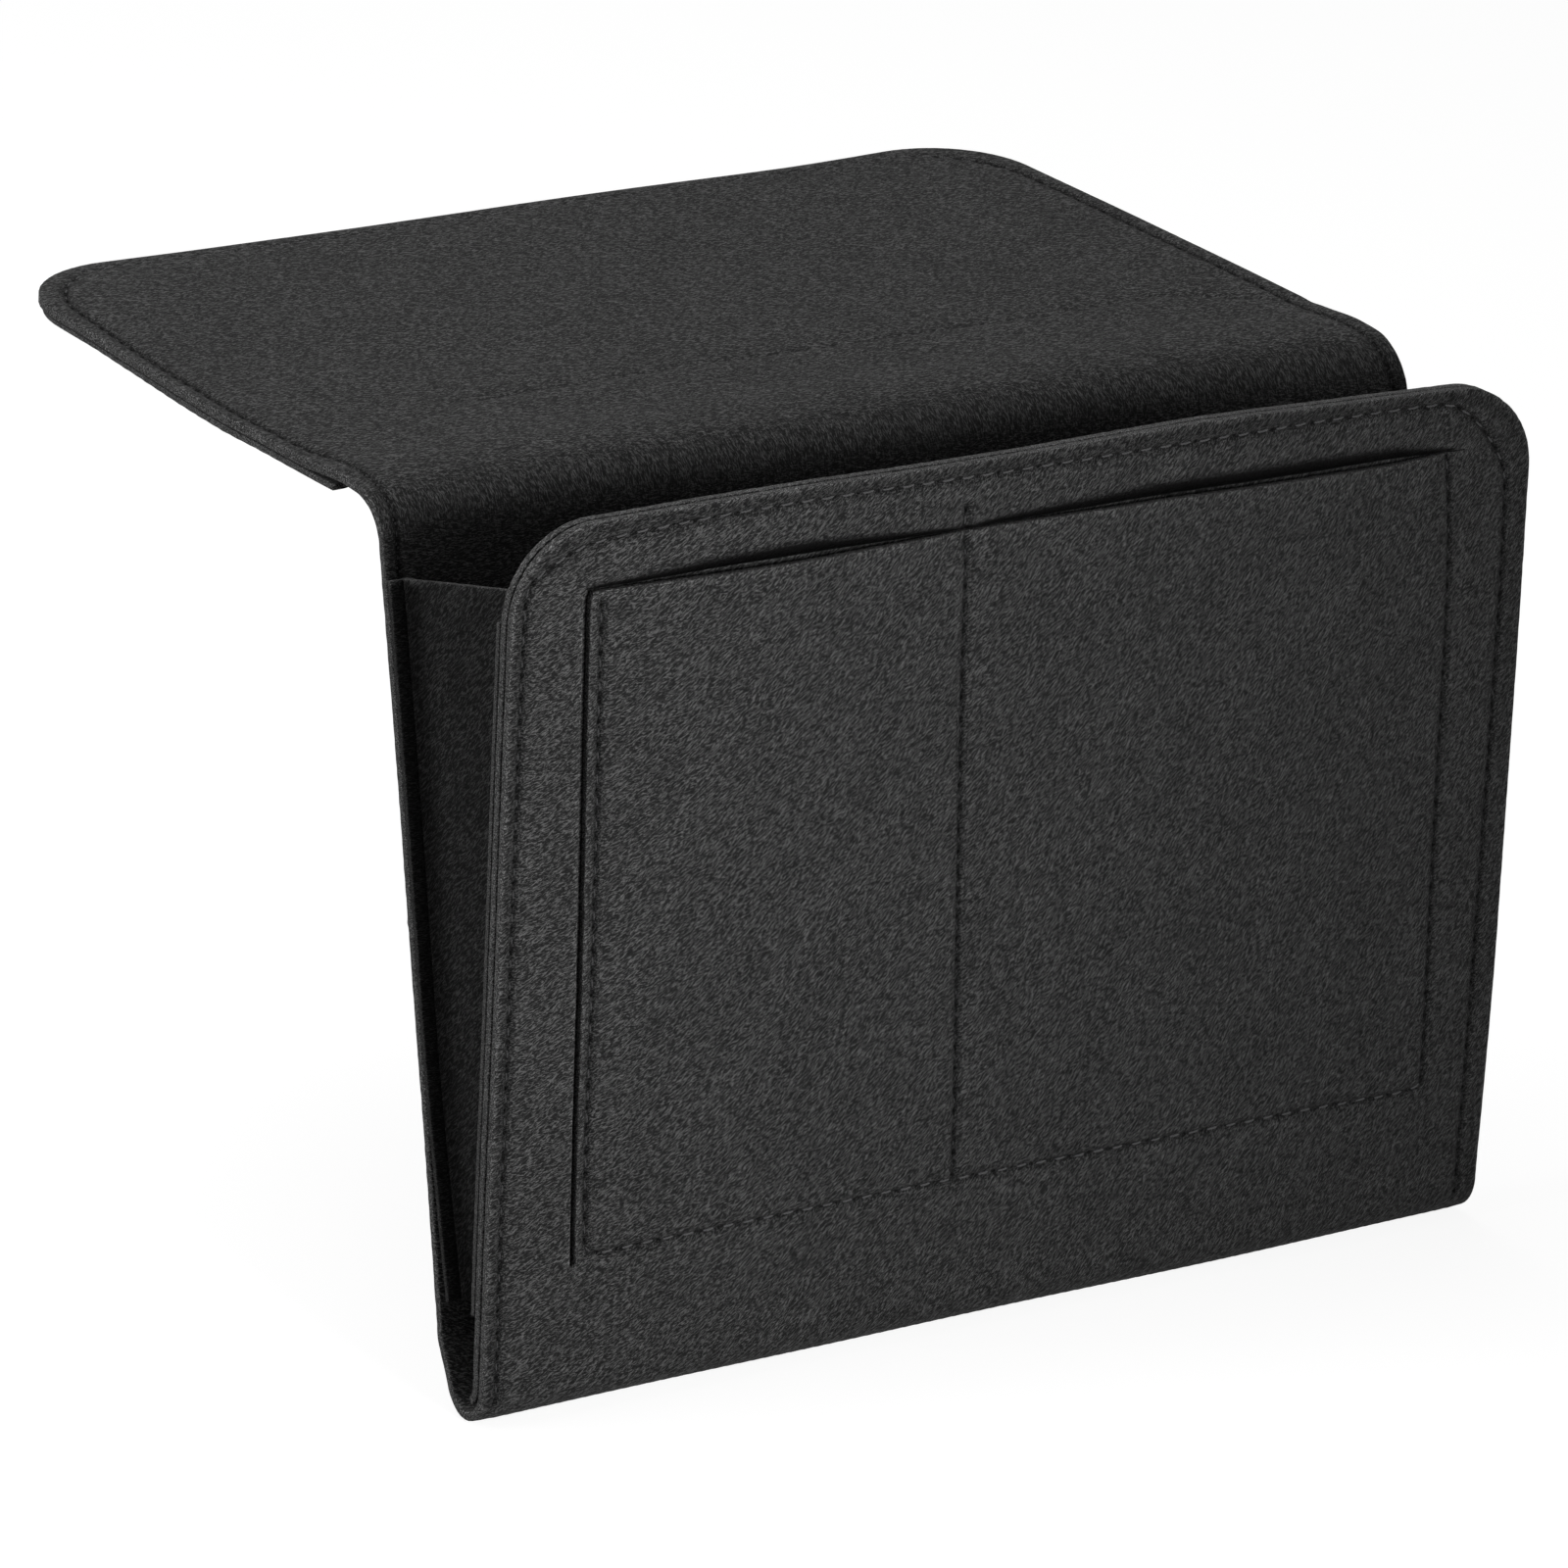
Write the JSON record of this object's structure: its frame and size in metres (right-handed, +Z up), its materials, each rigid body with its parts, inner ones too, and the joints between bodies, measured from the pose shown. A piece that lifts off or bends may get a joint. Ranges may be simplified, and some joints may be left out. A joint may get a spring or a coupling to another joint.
{
  "type": "bedside caddy",
  "caption": "Felt bedside caddy: a level flap for under the mattress, a hanging back panel, and a folded front panel on side gussets that makes an open pocket, and a slit into slip pockets.",
  "frame": {"origin": "middle of the flap's underside, on the face that lies on the bed base", "axes": "+X to the right along the strip's width, +Y toward the bed, +Z up"},
  "size_m": [0.32, 0.2707, 0.2425],
  "materials": {
    "strip_felt": "matte needle-punched felt",
    "ply_felt": "matte needle-punched felt",
    "gusset_felt": "matte thin felt"
  },
  "bodies": {
    "flap": {"flap_sheet": "strip_felt", "flap_under_ply": "ply_felt"},
    "back": {"back_sheet": "strip_felt", "gusset_left_rear_hem": "gusset_felt", "gusset_right_rear_hem": "gusset_felt"},
    "front": {"front_sheet": "strip_felt", "front_lining": "ply_felt", "gusset_left_front_hem": "gusset_felt", "gusset_right_front_hem": "gusset_felt"},
    "left_rear_web": {"gusset_left_rear_web": "gusset_felt"},
    "left_front_web": {"gusset_left_front_web": "gusset_felt"},
    "right_rear_web": {"gusset_right_rear_web": "gusset_felt"},
    "right_front_web": {"gusset_right_front_web": "gusset_felt"}
  },
  "joints": [
    {"name": "back_swing", "type": "hinge", "parent": "flap", "child": "back", "pos_m": [0, -0.11276, 0.00075], "axis": [-1, 0, 0], "range_deg": [-85, 78]},
    {"name": "pocket_open", "type": "hinge", "parent": "back", "child": "front", "pos_m": [0, -0.17357, -0.22619], "axis": [1, 0, 0], "range_deg": [-8, 4]},
    {"name": "left_rear_crease", "type": "hinge", "parent": "back", "child": "left_rear_web", "pos_m": [-0.155, -0.14092, -0.10833], "axis": [0, 0.1994, 0.9799], "range_deg": [-12.8, 25.6]},
    {"name": "left_front_crease", "type": "hinge", "parent": "front", "child": "left_front_web", "pos_m": [-0.155, -0.17388, -0.11], "axis": [0, 0, 1], "range_deg": [-25.6, 12.8]},
    {"name": "right_rear_crease", "type": "hinge", "parent": "back", "child": "right_rear_web", "pos_m": [0.155, -0.14092, -0.10833], "axis": [0, 0.1994, 0.9799], "range_deg": [-25.6, 12.8]},
    {"name": "right_front_crease", "type": "hinge", "parent": "front", "child": "right_front_web", "pos_m": [0.155, -0.17388, -0.11], "axis": [0, 0, 1], "range_deg": [-12.8, 25.6]}
  ],
  "couplings": [
    {"joint": "left_rear_crease", "follows": "pocket_open", "ratio": -3.2},
    {"joint": "left_front_crease", "follows": "pocket_open", "ratio": 3.2},
    {"joint": "right_rear_crease", "follows": "pocket_open", "ratio": 3.2},
    {"joint": "right_front_crease", "follows": "pocket_open", "ratio": -3.2}
  ]
}
